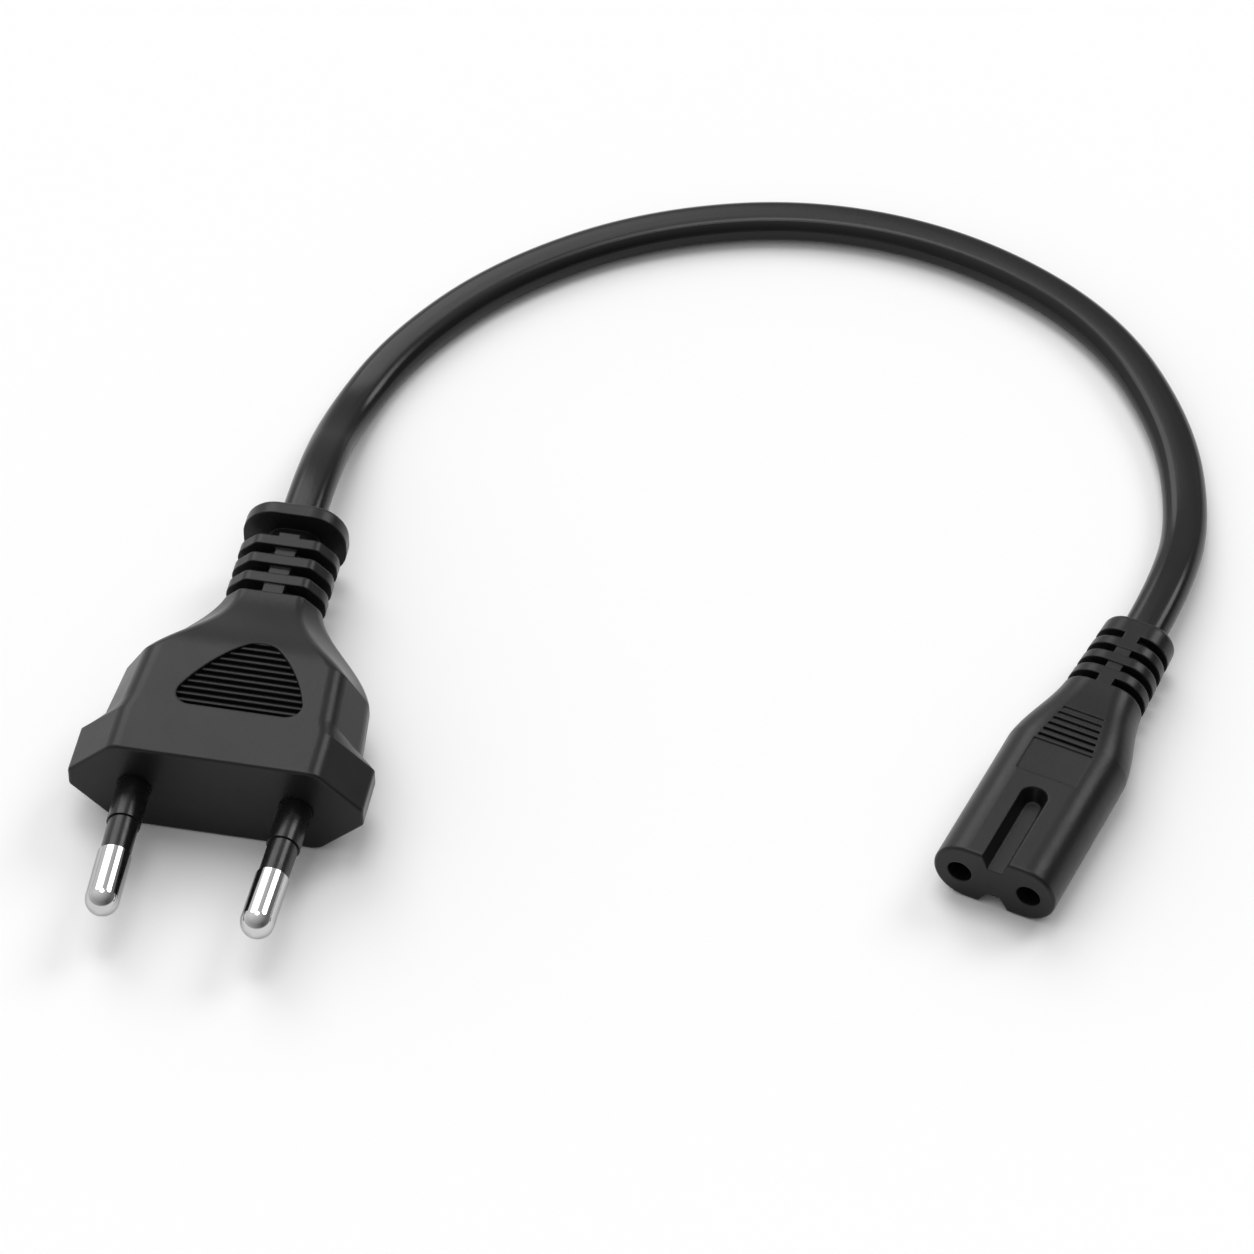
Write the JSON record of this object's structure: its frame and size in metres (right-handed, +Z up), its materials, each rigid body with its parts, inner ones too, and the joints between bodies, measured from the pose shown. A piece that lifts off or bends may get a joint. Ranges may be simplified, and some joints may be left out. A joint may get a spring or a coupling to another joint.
{
  "type": "power cord",
  "caption": "Short mains cord: a flat pin plug and a figure-of-eight connector with ribbed strain reliefs, joined by a flat cord lying in an arc.",
  "frame": {"origin": "under the middle of the plug, measured from its pin tips to its strain relief's collar, on the surface the cord lies on", "axes": "-Y the way the plug's pins point, +Y along the cord's start, +Z up out of the plug's ribbed recess"},
  "size_m": [0.1244, 0.1357, 0.013],
  "materials": {
    "moulded_black": "satin black soft plastic, slightly uneven moulded sheen",
    "cord_black": "satin black soft plastic, smooth along the cord",
    "sleeve_black": "satin black plastic",
    "rigid_plastic": "plain rigid plastic, hidden inside the mouldings",
    "pin_metal": "bright nickel plate",
    "contact_metal": "rolled spring metal",
    "copper": "stranded copper as one solid",
    "core_brown": "brown insulation",
    "core_blue": "blue insulation"
  },
  "bodies": {
    "root": {"plug_body": "moulded_black", "plug_bridge": "rigid_plastic", "plug_pin_left": "pin_metal", "plug_pin_right": "pin_metal", "pin_sleeve_left": "sleeve_black", "pin_sleeve_right": "sleeve_black", "conductor_left": "copper", "conductor_right": "copper", "core_insulation_left": "core_brown", "core_insulation_right": "core_blue", "cord_sheath": "cord_black", "contact_left": "contact_metal", "contact_right": "contact_metal", "connector_insert": "rigid_plastic", "connector_body": "moulded_black"}
  },
  "joints": []
}
